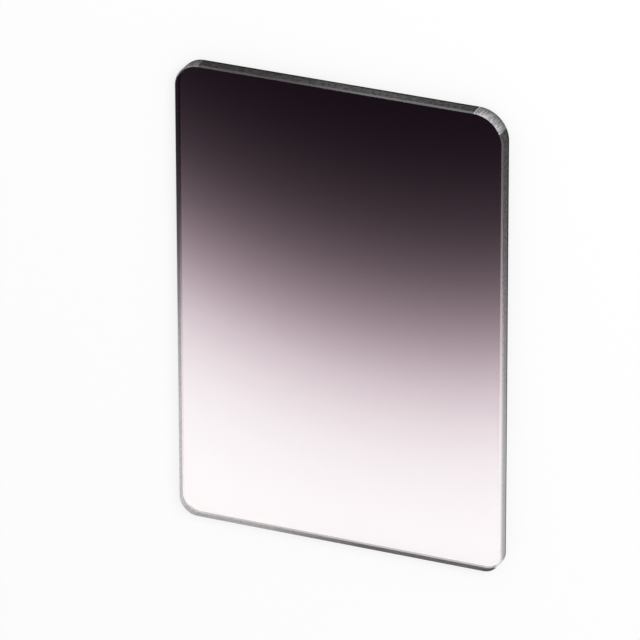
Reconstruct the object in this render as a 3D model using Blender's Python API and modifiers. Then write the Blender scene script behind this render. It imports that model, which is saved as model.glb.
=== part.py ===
"""A graduated neutral density filter for a matte box: one plate of optical glass, lying face up.

The plate is sawn to size, its four corners are ground round, its edge is ground square to the faces, and
the sharp rim of each face is then broken by a narrow chamfer that runs right round it. The faces stay flat
and polished. The dark end of the gradient is towards +Y, and the coated front face is up.

Units are metres. The origin is the middle of the back face, which is what the plate rests on.
"""

import bmesh
import bpy
from mathutils import Matrix, Vector

# The 4 x 5.65 inch filter size of motion picture matte boxes
PLATE_WIDTH = 0.1016
PLATE_LENGTH = 0.1435
PLATE_THICKNESS = 0.005

# How the edge is worked
CORNER_RADIUS = 0.009
FRONT_CHAMFER = 0.00045
BACK_CHAMFER = 0.00045

# Facets in each rounded corner, which is a quarter turn
CORNER_FACETS = 24

# The finish, seen as one colour half way down the gradient
GLASS_COLOUR = (0.40, 0.34, 0.37, 1.0)
GLASS_ROUGHNESS = 0.02
GLASS_IOR = 1.52


def clear_scene():
    """Starts from nothing, whatever file the script is run in."""
    for scene_object in list(bpy.data.objects):
        bpy.data.objects.remove(scene_object, do_unlink=True)


def glass_material():
    """Clear, colourless glass with the grey of the coating's middle."""
    material = bpy.data.materials.new("graduated_glass")
    material.use_nodes = True
    material.diffuse_color = GLASS_COLOUR
    shader = material.node_tree.nodes["Principled BSDF"]
    shader.inputs["Base Color"].default_value = GLASS_COLOUR
    shader.inputs["Metallic"].default_value = 0.0
    shader.inputs["Roughness"].default_value = GLASS_ROUGHNESS
    shader.inputs["IOR"].default_value = GLASS_IOR
    shader.inputs["Transmission Weight"].default_value = 1.0
    return material


def sawn_blank():
    """The blank as a box on the ground plane, with square corners and sharp edges."""
    blank = bmesh.new()
    size = Matrix.Diagonal((PLATE_WIDTH, PLATE_LENGTH, PLATE_THICKNESS, 1.0))
    lift = Matrix.Translation(Vector((0.0, 0.0, PLATE_THICKNESS / 2)))
    bmesh.ops.create_cube(blank, size=1.0, matrix=lift @ size)
    return blank


def grind_corners(blank):
    """Rounds the four upright edges."""
    upright = []
    for edge in blank.edges:
        low, high = sorted(vertex.co.z for vertex in edge.verts)
        if high - low > PLATE_THICKNESS / 2:
            upright.append(edge)
    bmesh.ops.bevel(
        blank,
        geom=upright,
        offset=CORNER_RADIUS,
        offset_type="OFFSET",
        segments=CORNER_FACETS,
        profile=0.5,
        affect="EDGES",
    )


def rim_group(plate, name, height):
    """Groups the vertices of the face at this height, whose rim one chamfer then follows."""
    group = plate.vertex_groups.new(name=name)
    half = PLATE_THICKNESS / 2
    rim = [vertex.index for vertex in plate.data.vertices if abs(vertex.co.z - height) < half]
    group.add(rim, 1.0, "REPLACE")
    return group


def chamfer_rim(plate, name, height, leg):
    """Breaks the rim of one face at 45 degrees, with this leg on the face and on the edge."""
    group = rim_group(plate, name, height)
    chamfer = plate.modifiers.new(name, "BEVEL")
    chamfer.limit_method = "VGROUP"
    chamfer.vertex_group = group.name
    chamfer.offset_type = "OFFSET"
    chamfer.width = leg
    chamfer.segments = 1
    chamfer.use_clamp_overlap = False


def filter_plate(collection):
    """The whole filter, as one solid."""
    blank = sawn_blank()
    grind_corners(blank)
    mesh = bpy.data.meshes.new("filter_plate")
    blank.to_mesh(mesh)
    blank.free()
    plate = bpy.data.objects.new("filter_plate", mesh)
    plate.data.materials.append(glass_material())
    collection.objects.link(plate)
    chamfer_rim(plate, "front_chamfer", PLATE_THICKNESS, FRONT_CHAMFER)
    chamfer_rim(plate, "back_chamfer", 0.0, BACK_CHAMFER)
    return plate


def main():
    clear_scene()
    collection = bpy.data.collections.new("graduated_nd_filter")
    bpy.context.scene.collection.children.link(collection)
    filter_plate(collection)


main()
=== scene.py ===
# %% [markdown]
# A graduated filter for a camera, lying on a pale table.
# The real object is a single plate, most likely of optical glass. It is dark at one end and clear at the
# other, so that a bright sky can be held back while the ground below it stays as it is. Nothing is bolted or
# glued to it, and all of its looks come from how the glass was coated and how its edge was ground.
#
# The CAD model gives the plate's true size and place. This script loads it as a fixed frame, dresses it in
# glass, and then adds a table, a white room with one lamp, and a camera.

# %% Load the frame
import math

import bmesh
import bpy
from mathutils import Matrix, Vector


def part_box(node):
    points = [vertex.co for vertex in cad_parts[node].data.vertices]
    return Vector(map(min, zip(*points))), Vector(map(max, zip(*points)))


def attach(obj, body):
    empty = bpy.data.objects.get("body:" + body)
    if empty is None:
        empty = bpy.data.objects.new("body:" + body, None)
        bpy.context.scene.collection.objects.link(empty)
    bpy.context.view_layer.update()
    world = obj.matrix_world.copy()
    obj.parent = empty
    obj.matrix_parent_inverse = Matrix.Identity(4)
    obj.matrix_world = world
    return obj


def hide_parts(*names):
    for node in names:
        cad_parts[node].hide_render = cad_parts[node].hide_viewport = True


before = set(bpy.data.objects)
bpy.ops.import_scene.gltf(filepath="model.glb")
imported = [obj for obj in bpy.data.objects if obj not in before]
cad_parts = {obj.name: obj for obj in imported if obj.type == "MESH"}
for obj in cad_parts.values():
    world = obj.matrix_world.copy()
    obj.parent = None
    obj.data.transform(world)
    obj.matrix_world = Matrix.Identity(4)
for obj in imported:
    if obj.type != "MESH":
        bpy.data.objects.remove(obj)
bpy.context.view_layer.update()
print("CAD nodes:", sorted(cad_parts))

# %% [markdown]
# The sizes of the plate are read off the CAD node, so the two can't drift apart. Only the chamfer and the
# corner radii are written here, because a bounding box doesn't show them. The CAD solid has the upper right
# corner's radius all round. In the photograph the other three corners look tighter.

# %% Sizes
MM = 0.001
node_low, node_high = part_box("filter_plate")
plate_size = node_high - node_low
plate_middle = (node_high + node_low) / 2
CHAMFER = 0.45 * MM
CORNER_FACETS = 48
ROUND_PROFILE = 0.5
CORNER_RADII = {
    "upper right": 9 * MM,
    "upper left": 7.5 * MM,
    "lower left": 5.8 * MM,
    "lower right": 5.4 * MM,
}
print("plate, mm:", [round(side / MM, 2) for side in plate_size])

# %% [markdown]
# The plate's shape. A glass worker could saw the blank, round its corners, grind the edge and break the sharp
# rims, and the mesh is made in that order: a cube, a bevel on each upright edge with that corner's own
# radius, then a one-step bevel on both rims. A bevel is better here than a subdivision surface, because the
# two faces have to stay truly flat or the view through the glass would bend.

# %% Saw the blank and round its corners
blank = bmesh.new()
stretch = Matrix.Diagonal((*plate_size, 1.0))
bmesh.ops.create_cube(blank, size=1.0, matrix=Matrix.Translation(plate_middle) @ stretch)


def upright(edge):
    """True for an edge that runs through the plate's thickness."""
    return abs(edge.verts[0].co.z - edge.verts[1].co.z) > plate_size.z / 2


def corner_of(point):
    """The name of the corner that is nearest to a point."""
    height = "upper" if point.y > plate_middle.y else "lower"
    side = "right" if point.x > plate_middle.x else "left"
    return f"{height} {side}"


for corner, radius in CORNER_RADII.items():
    bmesh.ops.bevel(
        blank,
        geom=[edge for edge in blank.edges if upright(edge) and corner_of(edge.verts[0].co) == corner],
        offset=radius,
        offset_type="OFFSET",
        segments=CORNER_FACETS,
        profile=ROUND_PROFILE,
        affect="EDGES",
    )
    print(corner, "corner rounded to", round(radius / MM, 1), "mm")

# %% [markdown]
# The sharp rims come last. A rim left sharp would chip, and cut whoever holds it, so each gets a narrow
# slope, here at 45 degrees. The slope is flat, so one step of bevel is enough.

# %% Break both rims
bmesh.ops.bevel(
    blank,
    geom=[edge for edge in blank.edges if not upright(edge)],
    offset=CHAMFER,
    offset_type="OFFSET",
    segments=1,
    profile=ROUND_PROFILE,
    affect="EDGES",
)
blank.normal_update()
print("chamfered blank:", len(blank.faces), "faces")

# %% [markdown]
# Six finishes meet on the plate, and each gets a material slot of its own. The two faces are polished and
# coated. The narrow bevel between a face and the edge is called a chamfer. The front one is clear along the
# right and the top, and ground like the edge along the left and the bottom. The back one is clear, but lies
# under the dark layer. The edge itself is ground grey. Its near side, right and top, is seen from outside,
# and its far side, left and bottom, through the glass, so the two are made apart, each with its own painted
# light and shade. The upper corners look as if they were ground in another pass: they are paler, partly with
# painted light, and streaked.
#
# The finish of each face of the mesh is found from the way it looks: up or down, aslant, or sideways. The
# direction that tells near edges from far ones points across the table towards the camera.

# %% Sort the faces by finish
FACE_SLOT, FRONT_CHAMFER_SLOT, BACK_CHAMFER_SLOT, NEAR_EDGE_SLOT, FAR_EDGE_SLOT, CORNER_SLOT = range(6)
FLAT = 0.9
SIDEWAYS = 0.3
CAMERA_SIDE = Vector((0.66, 0.75))
CORNER_LOOKS_UP = math.sin(math.radians(25))


def straight_end(corner):
    """How far from the plate's middle the straight edges beside this corner end, in X and in Y."""
    radius = CORNER_RADII[corner]
    return plate_size.x / 2 - radius, plate_size.y / 2 - radius


def in_corner(point):
    """True for a point on the round of its corner."""
    end_x, end_y = straight_end(corner_of(point))
    from_middle = point - plate_middle
    return abs(from_middle.x) > end_x and abs(from_middle.y) > end_y


def finish_of(face):
    """The material slot of this face of the blank."""
    if abs(face.normal.z) > FLAT:
        return FACE_SLOT
    if face.normal.z < -SIDEWAYS:
        return BACK_CHAMFER_SLOT
    outward = face.normal.xy.normalized()
    if in_corner(face.calc_center_median()) and outward.y > CORNER_LOOKS_UP:
        return CORNER_SLOT
    if outward.dot(CAMERA_SIDE) < 0:
        return FAR_EDGE_SLOT
    return FRONT_CHAMFER_SLOT if face.normal.z > SIDEWAYS else NEAR_EDGE_SLOT


for face in blank.faces:
    face.material_index = finish_of(face)
    face.smooth = True
slots_used = [face.material_index for face in blank.faces]
print("faces per finish:", [slots_used.count(slot) for slot in sorted(set(slots_used))])

# %% [markdown]
# The finished mesh becomes an object that stands for the CAD node. Its round corners are shaded smooth, and
# every edge that turns by more than 30 degrees is kept sharp, which leaves the faces flat and the chamfer
# crisp.

# %% Make the plate
SHARP_ANGLE = math.radians(30)
plate_mesh = bpy.data.meshes.new("graded_plate")
blank.to_mesh(plate_mesh)
blank.free()
plate_mesh.set_sharp_from_angle(angle=SHARP_ANGLE)
plate = bpy.data.objects.new("graded_plate", plate_mesh)
bpy.context.scene.collection.objects.link(plate)
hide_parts("filter_plate")
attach(plate, "root")
print("graded_plate:", len(plate_mesh.vertices), "vertices")

# %% [markdown]
# A small helper keeps the node trees short to read: it adds a node, sets its unlinked sockets, and links the
# others. A socket is given by name or, where a node has several of one name, by number.


# %% Helpers for node trees
def add(tree, kind, operation=None):
    """A new node, with its operation set if it has one."""
    node = tree.nodes.new(kind)
    if operation is not None:
        node.operation = operation
    return node


def feed(tree, node, socket, value):
    """Gives a socket a plain value, or links it to another node's output."""
    if isinstance(value, bpy.types.NodeSocket):
        tree.links.new(value, node.inputs[socket])
    else:
        node.inputs[socket].default_value = value


def maths(tree, operation, first, second=0.0):
    """One step of arithmetic, and its result."""
    node = add(tree, "ShaderNodeMath", operation)
    feed(tree, node, 0, first)
    feed(tree, node, 1, second)
    return node.outputs["Value"]


def product(tree, *factors):
    """All of these multiplied together."""
    total = factors[0]
    for factor in factors[1:]:
        total = maths(tree, "MULTIPLY", total, factor)
    return total


def ramp(tree, value, start, end, first, last):
    """A smooth change from one value to another while the input goes from start to end."""
    spread = add(tree, "ShaderNodeMapRange")
    spread.interpolation_type = "SMOOTHSTEP"
    feed(tree, spread, "Value", value)
    for socket, limit in (("From Min", start), ("From Max", end), ("To Min", first), ("To Max", last)):
        feed(tree, spread, socket, limit)
    return spread.outputs["Result"]


def grey(tree, value):
    """The same value in all three channels."""
    mixed = add(tree, "ShaderNodeCombineColor")
    for channel in ("Red", "Green", "Blue"):
        feed(tree, mixed, channel, value)
    return mixed.outputs["Color"]


def principled(name):
    """A new material, its tree and its shader."""
    material = bpy.data.materials.new(name)
    material.use_nodes = True
    tree = material.node_tree
    return material, tree, tree.nodes["Principled BSDF"]


# %% [markdown]
# The gradient. At the dark end less than a hundredth of the light gets through, and at the clear end nearly
# all of it. Between them the share that passes follows the logistic curve, a plain S that fits the photograph
# closely, so the whole gradient needs only its middle and its softness. The layer isn't quite neutral: green
# starts to pass a little further down than red and blue, which makes the dark end purple, and the clear end
# still holds back a little green and blue, which leaves a breath of pink. The middle line is bowed, as if
# the layer had been laid on thinner towards both long edges.
#
# In nodes: the place along the plate goes through one exponential, and then each channel has its own middle.

# %% How much light the layer passes
MIDDLES = (0.556, 0.587, 0.571)
GREEN_MIDDLE = MIDDLES[1]
SOFTNESS = 0.102
BOW = 0.218
BOW_CENTRE = 0.65
CLEAR_END = (0.985, 0.946, 0.955)
MIDDLE_FACTORS = tuple(math.exp(middle / SOFTNESS) for middle in MIDDLES)


def vector_maths(tree, operation, first, second=None, scale=None):
    """One step of arithmetic on three channels at once, and its result."""
    node = add(tree, "ShaderNodeVectorMath", operation)
    feed(tree, node, 0, first)
    if second is not None:
        feed(tree, node, 1, second)
    if scale is not None:
        feed(tree, node, "Scale", scale)
    return node.outputs["Vector"]


def place(tree):
    """Where a point is: its X, Y and Z in metres, with the plate's own origin."""
    split = add(tree, "ShaderNodeSeparateXYZ")
    feed(tree, split, 0, add(tree, "ShaderNodeTexCoord").outputs["Object"])
    return split.outputs


def layer_passes(tree):
    """The colour of the light that gets through the layer at a point of the plate."""
    here = place(tree)
    across = maths(tree, "DIVIDE", maths(tree, "SUBTRACT", here["X"], node_low.x), plate_size.x)
    down = maths(tree, "DIVIDE", maths(tree, "SUBTRACT", node_high.y, here["Y"]), plate_size.y)
    off_centre = maths(tree, "SUBTRACT", across, BOW_CENTRE)
    bow = maths(tree, "MULTIPLY", maths(tree, "MULTIPLY", off_centre, off_centre), BOW)
    fall = maths(tree, "EXPONENT", maths(tree, "DIVIDE", maths(tree, "ADD", down, bow), -SOFTNESS))
    held_back = vector_maths(tree, "SCALE", MIDDLE_FACTORS, scale=fall)
    return vector_maths(tree, "DIVIDE", CLEAR_END, vector_maths(tree, "ADD", held_back, (1.0, 1.0, 1.0)))


def passed_at(down):
    """The share of green light passed on the centre line, in plain Python, to print it."""
    return 1 / (1 + math.exp((GREEN_MIDDLE - down) / SOFTNESS))


print("green light passed down the plate:", [round(passed_at(step / 4), 3) for step in range(5)])

# %% [markdown]
# The faces. Both are optically polished, so their roughness is zero. Such filters are often coated against
# reflections as well, which leaves a faint purple mirror image of the room. Principled's specular tint is the
# setting that dims the reflection of a see-through material. Each ray crosses two faces, and Blender tints
# it by the square root of the base colour at each, so the base colour is what one look through shows.

# %% The coated faces
GLASS_IOR = 1.52
COATED_REFLECTION = (0.16, 0.03, 0.16, 1.0)

coated_glass, tree, shader = principled("coated_glass")
feed(tree, shader, "Base Color", layer_passes(tree))
shader.inputs["Roughness"].default_value = 0.0
shader.inputs["IOR"].default_value = GLASS_IOR
shader.inputs["Specular Tint"].default_value = COATED_REFLECTION
shader.inputs["Transmission Weight"].default_value = 1.0
plate_mesh.materials.append(coated_glass)
print("material:", coated_glass.name)

# %% [markdown]
# The clear chamfers. They look slightly frosted, as a fine wheel leaves them. Half of the layer's tint sits
# on each face here. Through the front chamfer the eye meets only the half on the back face, so the chamfer
# shows as a line paler than the face beside it, and it is painted grey, a painted shade, where it turns away
# round the lower corner. Along the right half of the top the line is paler still: there less light passes and
# more is scattered white, a painted highlight.
#
# The back chamfer is seen through the front face. It gets a stronger tint than the face, the layer's colour
# squared: a painted shade that draws a thin dark line inside the far edges. Along the bottom it is painted
# darker still.

# %% The chamfers
CHAMFER_ROUGHNESS = 0.2
# The front chamfer's grey round the lower right corner is a painted shade.
LOWER_CORNER_SHADE = 0.3
# The back chamfer is painted darker along the bottom, a painted shade.
BACK_BOTTOM_SHADE = 0.38
BACK_BOTTOM_REACH = 2.5 * MM
# The paler right half of the top chamfer is a painted highlight.
TOP_PASSES = 0.91
TOP_PALE_START = -20 * MM
TOP_PALE_END = 10 * MM
lower_right_x, lower_right_y = straight_end("lower right")


def clear_chamfer(name, colour):
    """Uncoated glass off a fine wheel, with the colour that this function makes."""
    material, tree, shader = principled(name)
    feed(tree, shader, "Base Color", colour(tree))
    shader.inputs["Roughness"].default_value = CHAMFER_ROUGHNESS
    shader.inputs["IOR"].default_value = GLASS_IOR
    shader.inputs["Transmission Weight"].default_value = 1.0
    plate_mesh.materials.append(material)
    print("material:", material.name)
    return tree, shader


def front_tint(tree):
    """White, but painted grey where the rim turns away round the lower corner: a painted shade."""
    painted_turn_shade = ramp(tree, place(tree)["Y"], -plate_size.y / 2, -lower_right_y, LOWER_CORNER_SHADE, 1.0)
    return grey(tree, painted_turn_shade)


def front_passes(tree):
    """All of the light, but a little less along the right half of the top, where the scattered white is a
    painted highlight.
    """
    here = place(tree)
    top = plate_size.y / 2 - CHAMFER
    painted_highlight_half = ramp(tree, here["X"], TOP_PALE_START, TOP_PALE_END, 1.0, TOP_PASSES)
    return ramp(tree, here["Y"], top - CHAMFER, top, 1.0, painted_highlight_half)


def back_tint(tree):
    """The layer's colour squared, a painted shade of light that has crossed it twice, and painted darker
    along the bottom.
    """
    passed = layer_passes(tree)
    twice = vector_maths(tree, "MULTIPLY", passed, passed)
    bottom = -plate_size.y / 2 + CHAMFER
    painted_bottom_shade = ramp(tree, place(tree)["Y"], bottom, bottom + BACK_BOTTOM_REACH, BACK_BOTTOM_SHADE, 1.0)
    return vector_maths(tree, "SCALE", twice, scale=painted_bottom_shade)


front_tree, front_shader = clear_chamfer("front_chamfer", front_tint)
feed(front_tree, front_shader, "Transmission Weight", front_passes(front_tree))
clear_chamfer("back_chamfer", back_tint)

# %% [markdown]
# Ground glass. Coarse grit leaves the edge grey and grainy: part of the light is scattered at its surface,
# and the rest gets through it in a blur. A polished edge would mirror the inside of the plate. Ground glass
# doesn't, so its IOR is close to 1 here, which keeps white reflections out of it.
#
# The grain is a fine noise that varies the colour. Each ground finish below has its own scale and contrast.
# The same noise is fed to a bump as a shallow relief, which hardly shows from where this camera stands.

# %% Ground glass
GROUND_IOR = 1.02
GROUND_ROUGHNESS = 0.5
GROUND_SPECULAR = 0.1
GROUND_SHINE = (0.15, 0.15, 0.15, 1.0)
NOISE_LOW = 0.3
NOISE_HIGH = 0.7
NOISE_DETAIL = 3.0
RELIEF_STRENGTH = 0.6


def grain(tree, scale, low, high, stretch=(1.0, 1.0, 1.0)):
    """A fine noise between two values, which may be stretched into streaks."""
    mapping = add(tree, "ShaderNodeMapping")
    feed(tree, mapping, "Vector", add(tree, "ShaderNodeTexCoord").outputs["Object"])
    mapping.inputs["Scale"].default_value = stretch
    noise = add(tree, "ShaderNodeTexNoise")
    feed(tree, noise, "Vector", mapping.outputs["Vector"])
    noise.inputs["Scale"].default_value = scale
    noise.inputs["Detail"].default_value = NOISE_DETAIL
    return ramp(tree, noise.outputs["Fac"], NOISE_LOW, NOISE_HIGH, low, high)


def relief(tree, shader, height, depth):
    """Bump from a height in the same tree."""
    bump = add(tree, "ShaderNodeBump")
    feed(tree, bump, "Height", height)
    bump.inputs["Distance"].default_value = depth
    bump.inputs["Strength"].default_value = RELIEF_STRENGTH
    feed(tree, shader, "Normal", bump.outputs["Normal"])


def ground_glass(name, brightness, texture, depth, passes):
    """A ground finish of this brightness and texture, which lets this share of the light through."""
    material, tree, shader = principled(name)
    grains = texture(tree)
    # The base colour is the brightness, which paints light and shade into it, times the grain.
    tone_and_painted_light = maths(tree, "MINIMUM", product(tree, brightness(tree), grains), 1.0)
    feed(tree, shader, "Base Color", grey(tree, tone_and_painted_light))
    relief(tree, shader, grains, depth)
    shader.inputs["Roughness"].default_value = GROUND_ROUGHNESS
    shader.inputs["IOR"].default_value = GROUND_IOR
    shader.inputs["Specular IOR Level"].default_value = GROUND_SPECULAR
    shader.inputs["Specular Tint"].default_value = GROUND_SHINE
    shader.inputs["Transmission Weight"].default_value = passes
    plate_mesh.materials.append(material)
    print("material:", material.name)


# %% [markdown]
# The near edges. Their colour is their own dark grey plus painted light that follows the light in the glass
# beside them, dark by the dark end and paler by the clear one. It is painted lighter behind the front chamfer
# and painted darker towards the back face. The left end of the top edge is painted dimmer, the right half has
# a painted light patch, and the lower right corner is painted fading to white.
#
# Each of these is a smooth ramp along X, Y or Z, and the ramps are multiplied. The grain swings between a low
# and a high value. Each has two, one for the dark end and one for the clear end, where the grain is calmer.

# %% The near edges
# NEAR_GLOW, the rims, DIM_LEFT_END, LIGHT_PATCH and WHITE_CORNER paint light and shade into the edge's
# colour.
NEAR_DARKEST = 0.10
NEAR_GLOW = 0.24
FRONT_RIM_CLEAR = 2.1
FRONT_RIM_FULL_AT = 0.3
FRONT_RIM_DEPTH = 2.4 * MM
BACK_RIM_DARK = 0.12
BACK_RIM_CLEAR = 0.65
BACK_RIM_DEPTH = 1.8 * MM
DIM_LEFT_END = 0.6
LIGHT_PATCH = 1.5
LIGHT_PATCH_X = 12 * MM
LIGHT_PATCH_REACH = 36 * MM
WHITE_CORNER = 2.6
WHITE_CORNER_START = -lower_right_y - 0.5 * MM
WHITE_CORNER_END = -lower_right_y - 2.5 * MM
NEAR_GRAIN_SCALE = 1300.0
NEAR_GRAIN_LOW = (0.5, 0.84)
NEAR_GRAIN_HIGH = (1.5, 1.12)
NEAR_GRAIN_CALM_AT = 0.6
NEAR_RELIEF = 0.02 * MM
NEAR_PASSES = 0.55


def green_passed(tree):
    """The green channel of what the layer passes, which stands for the whole."""
    split = add(tree, "ShaderNodeSeparateXYZ")
    feed(tree, split, 0, layer_passes(tree))
    return split.outputs["Y"]


def rims(tree, green, height):
    """The painted light behind the front chamfer, and the painted shade that falls towards the back one."""
    front_rim = ramp(tree, green, 0.0, FRONT_RIM_FULL_AT, 1.0, FRONT_RIM_CLEAR)
    back_rim = ramp(tree, green, 0.0, 1.0, BACK_RIM_DARK, BACK_RIM_CLEAR)
    painted_rise = ramp(tree, height, plate_size.z - FRONT_RIM_DEPTH, plate_size.z - CHAMFER, 1.0, front_rim)
    fall = ramp(tree, height, CHAMFER, BACK_RIM_DEPTH, back_rim, 1.0)
    return product(tree, painted_rise, fall)


def patches(tree, here):
    """The painted shade of the dim left end, the painted light patch on the top edge and the painted white
    lower corner.
    """
    painted_dim_end = ramp(tree, here["X"], node_low.x, 0.0, DIM_LEFT_END, 1.0)
    from_patch = maths(tree, "ABSOLUTE", maths(tree, "SUBTRACT", here["X"], LIGHT_PATCH_X))
    painted_light_patch = ramp(tree, from_patch, 0.0, LIGHT_PATCH_REACH, LIGHT_PATCH, 1.0)
    corner = ramp(tree, here["Y"], WHITE_CORNER_END, WHITE_CORNER_START, WHITE_CORNER, 1.0)
    return product(tree, painted_dim_end, painted_light_patch, corner)


def near_brightness(tree):
    """How light the right and top edges are: their own grey with painted light and shade."""
    here = place(tree)
    green = green_passed(tree)
    painted_glow = maths(tree, "MULTIPLY", maths(tree, "SQRT", green), NEAR_GLOW)
    tone_and_painted_light = maths(tree, "ADD", painted_glow, NEAR_DARKEST)
    return product(tree, tone_and_painted_light, rims(tree, green, here["Z"]), patches(tree, here))


def near_grain(tree):
    """The pits that coarse grit leaves. They show most where the glass behind them is dark."""
    green = green_passed(tree)
    low = ramp(tree, green, 0.0, NEAR_GRAIN_CALM_AT, *NEAR_GRAIN_LOW)
    high = ramp(tree, green, 0.0, NEAR_GRAIN_CALM_AT, *NEAR_GRAIN_HIGH)
    return grain(tree, NEAR_GRAIN_SCALE, low, high)


ground_glass("near_edge", near_brightness, near_grain, NEAR_RELIEF, NEAR_PASSES)

# %% [markdown]
# The far edges. Their colour is their own dark grey plus painted light that follows the light in the glass
# too, and ends in a much paler grey. The bottom one has painted shade, more so towards the right, and darkest
# at its tip. Less light gets through them than through the near ones, or they would look black from outside.

# %% The far edges
# FAR_GLOW paints light from the glass; the SHADE and TIP values paint shade along the bottom edge.
FAR_DARKEST = 0.06
FAR_GLOW = 0.82
FAR_POWER = 1.2
SHADE_START = -36 * MM
SHADE_END = 12 * MM
SHADE_LEFT = 0.6
SHADE_RIGHT = 0.08
SHADE_REACH = 6 * MM
TIP = 6 * MM
TIP_SHADE = 0.3
FAR_GRAIN_SCALE = 1600.0
FAR_GRAIN = (0.78, 1.14)
FAR_RELIEF = 0.02 * MM
FAR_PASSES = 0.35


def far_brightness(tree):
    """How light the left and bottom edges are: painted light from the glass, and painted shade along the
    bottom.
    """
    here = place(tree)
    # Painted shade along the bottom edge, stronger to the right and at its tip.
    shade = ramp(tree, here["X"], SHADE_START, SHADE_END, SHADE_LEFT, SHADE_RIGHT)
    tip = ramp(tree, here["X"], lower_right_x - TIP, lower_right_x + TIP, 1.0, TIP_SHADE)
    bottom = maths(tree, "MULTIPLY", shade, tip)
    shaded = ramp(tree, here["Y"], -plate_size.y / 2, SHADE_REACH - plate_size.y / 2, bottom, 1.0)
    painted_glow = maths(tree, "POWER", green_passed(tree), FAR_POWER)
    return maths(tree, "ADD", product(tree, painted_glow, FAR_GLOW, shaded), FAR_DARKEST)


def far_grain(tree):
    """The same grit, softened by the glass that it is seen through."""
    return grain(tree, FAR_GRAIN_SCALE, *FAR_GRAIN)


ground_glass("far_edge", far_brightness, far_grain, FAR_RELIEF, FAR_PASSES)

# %% [markdown]
# The upper corners. Streaks run through the thickness here, such as a wheel leaves when the plate is swung
# round under it. The corners are paler than the straight edges, and carry painted light, strongest on the
# right one and on the chamfer, with painted shade towards the back. The right one starts with a thin white
# line.

# %% The ground corners
# CORNER_BACK, CORNER_FRONT_LEFT, CORNER_FRONT_RIGHT, CORNER_CHAMFER and CORNER_LEFT_SHARE paint light and
# shade.
CORNER_OWN = 0.5
CORNER_BACK = 0.4
CORNER_FRONT_LEFT = 0.9
CORNER_FRONT_RIGHT = 1.5
CORNER_CHAMFER = 1.15
CORNER_LEFT_SHARE = 0.7
CORNER_CHAMFER_BLEND = CHAMFER / 4
STREAK_SCALE = 2000.0
STREAK_STRETCH = (1.0, 1.0, 0.15)
STREAKS = (0.6, 1.45)
CORNER_RELIEF = 0.03 * MM
CORNER_PASSES = 0.5
LINE_WIDTH = 0.4 * MM
LINE_GAIN = 0.9
upper_right_x = straight_end("upper right")[0]


def corner_brightness(tree):
    """How light the corners are: white at the line, painted light palest on the chamfer and on the right, and
    painted shade towards the back.
    """
    here = place(tree)
    from_line = maths(tree, "ABSOLUTE", maths(tree, "SUBTRACT", here["X"], upper_right_x))
    line = ramp(tree, from_line, 0.0, LINE_WIDTH, LINE_GAIN, 0.0)
    # Painted light and shade: the right corner lighter than the left, the front lighter than the back.
    side = ramp(tree, here["X"], -upper_right_x, upper_right_x, CORNER_LEFT_SHARE, 1.0)
    front = ramp(tree, here["X"], -upper_right_x, upper_right_x, CORNER_FRONT_LEFT, CORNER_FRONT_RIGHT)
    painted_rise = ramp(tree, here["Z"], 0.0, plate_size.z, CORNER_BACK, front)
    chamfer_start = plate_size.z - CHAMFER
    chamfer_full = chamfer_start + CORNER_CHAMFER_BLEND
    chamfer = ramp(tree, here["Z"], chamfer_start, chamfer_full, 1.0, CORNER_CHAMFER)
    return maths(tree, "ADD", line, product(tree, side, painted_rise, chamfer, CORNER_OWN))


def corner_streaks(tree):
    """The streaks that the wheel left, drawn out through the thickness."""
    return grain(tree, STREAK_SCALE, *STREAKS, STREAK_STRETCH)


ground_glass("corner", corner_brightness, corner_streaks, CORNER_RELIEF, CORNER_PASSES)

# %% [markdown]
# The table is one large pale plane just under the plate. In the photograph the ground is nearly pure white.
# Brighter lamps would burn out the plate as well, so part of the table's white is its own light, which only
# the camera, reflections and views through the glass see. Views through the glass see more of it, painted
# light that lifts the plate's shadow under it. The rest is lit by the lamps and keeps the shadow.

# %% The table
TABLE_SIZE = 12.0
TABLE_GAP = 0.1 * MM
OWN_LIGHT = 0.74
OWN_LIGHT_THROUGH_GLASS = 0.882
LIT_PART = (0.26, 0.26, 0.26, 1.0)
PLAIN_WHITE = (0.8, 0.8, 0.8, 1.0)

bpy.ops.mesh.primitive_plane_add(size=TABLE_SIZE, location=(0, 0, node_low.z - TABLE_GAP))
table = bpy.context.object
table.name = "table"

table_white = bpy.data.materials.new("table_white")
table_white.use_nodes = True
tree = table_white.node_tree
tree.nodes.clear()
paths = add(tree, "ShaderNodeLightPath")
seen = maths(
    tree,
    "MAXIMUM",
    paths.outputs["Is Camera Ray"],
    maths(tree, "MAXIMUM", paths.outputs["Is Glossy Ray"], paths.outputs["Is Transmission Ray"]),
)
plain = add(tree, "ShaderNodeBsdfDiffuse")
plain.inputs["Color"].default_value = PLAIN_WHITE
part_lit = add(tree, "ShaderNodeBsdfDiffuse")
part_lit.inputs["Color"].default_value = LIT_PART
own_light = add(tree, "ShaderNodeEmission")
# Stronger own light through the glass: painted light that fills in the plate's shadow under it.
painted_light_through_glass = maths(tree, "MULTIPLY", paths.outputs["Is Transmission Ray"], OWN_LIGHT_THROUGH_GLASS - OWN_LIGHT)
feed(tree, own_light, "Strength", maths(tree, "ADD", painted_light_through_glass, OWN_LIGHT))
white = add(tree, "ShaderNodeAddShader")
feed(tree, white, 0, part_lit.outputs[0])
feed(tree, white, 1, own_light.outputs[0])
choice = add(tree, "ShaderNodeMixShader")
feed(tree, choice, 0, seen)
feed(tree, choice, 1, plain.outputs[0])
feed(tree, choice, 2, white.outputs[0])
surface = add(tree, "ShaderNodeOutputMaterial")
feed(tree, surface, "Surface", choice.outputs[0])
table.data.materials.append(table_white)
print("table top at", round(table.location.z / MM, 2), "mm")

# %% [markdown]
# The light is soft: an even white room, and one large lamp to the upper right that gives the plate a faint
# shadow on the left and below.

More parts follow.
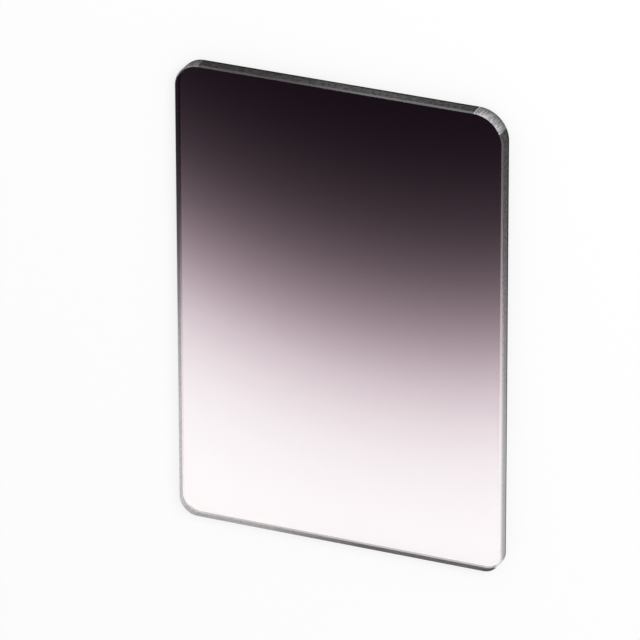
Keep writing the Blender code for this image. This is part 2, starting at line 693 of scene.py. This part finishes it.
# %% The light
ROOM_COLOUR = (1.0, 1.0, 1.0, 1.0)
ROOM_STRENGTH = 0.6
KEY_PLACE = Vector((0.95, 0.8, 1.2))
KEY_SIZE = 0.8
KEY_POWER = 16.0

room = bpy.data.worlds.new("white_room")
room.use_nodes = True
background = room.node_tree.nodes["Background"]
background.inputs["Color"].default_value = ROOM_COLOUR
background.inputs["Strength"].default_value = ROOM_STRENGTH
bpy.context.scene.world = room

key_data = bpy.data.lights.new("key_lamp", "AREA")
key_data.size = KEY_SIZE
key_data.energy = KEY_POWER
key = bpy.data.objects.new("key_lamp", key_data)
key.location = KEY_PLACE
key.rotation_euler = (-KEY_PLACE).to_track_quat("-Z", "Y").to_euler()
bpy.context.scene.collection.objects.link(key)
print("key lamp", round(KEY_PLACE.length, 2), "m away")

# %% [markdown]
# The camera. The photograph looks as if a long lens took it, since the plate's long edges are parallel. The
# plate lies flat here, and the camera looks down on it from the side that the photograph shows: turned to
# the right, and tilted towards the dark end. Turning about Y and then about X keeps the dark end upwards in
# the picture.

# %% The camera
LENS = 439.7
SENSOR_WIDTH = 36.0
FARTHEST_SEEN = 50.0
CAMERA_TURN = math.radians(23.82)
CAMERA_TILT = math.radians(24.82)
CAMERA_ROLL = math.radians(-0.18)
CAMERA_DISTANCE = 2.243
AIM = Vector((-5.54 * MM, -1.14 * MM, plate_size.z))

camera_data = bpy.data.cameras.new("camera")
camera_data.lens = LENS
camera_data.sensor_width = SENSOR_WIDTH
camera_data.clip_end = FARTHEST_SEEN
camera = bpy.data.objects.new("camera", camera_data)
turned = Matrix.Rotation(CAMERA_TURN, 4, "Y") @ Matrix.Rotation(-CAMERA_TILT, 4, "X")
rolled = Matrix.Rotation(CAMERA_ROLL, 4, "Z")
back_off = Matrix.Translation((0, 0, CAMERA_DISTANCE))
camera.matrix_world = Matrix.Translation(AIM) @ turned @ rolled @ back_off
bpy.context.scene.collection.objects.link(camera)
bpy.context.scene.camera = camera
bpy.context.scene.view_settings.view_transform = "Standard"
print("camera at", [round(value, 3) for value in camera.matrix_world.translation])
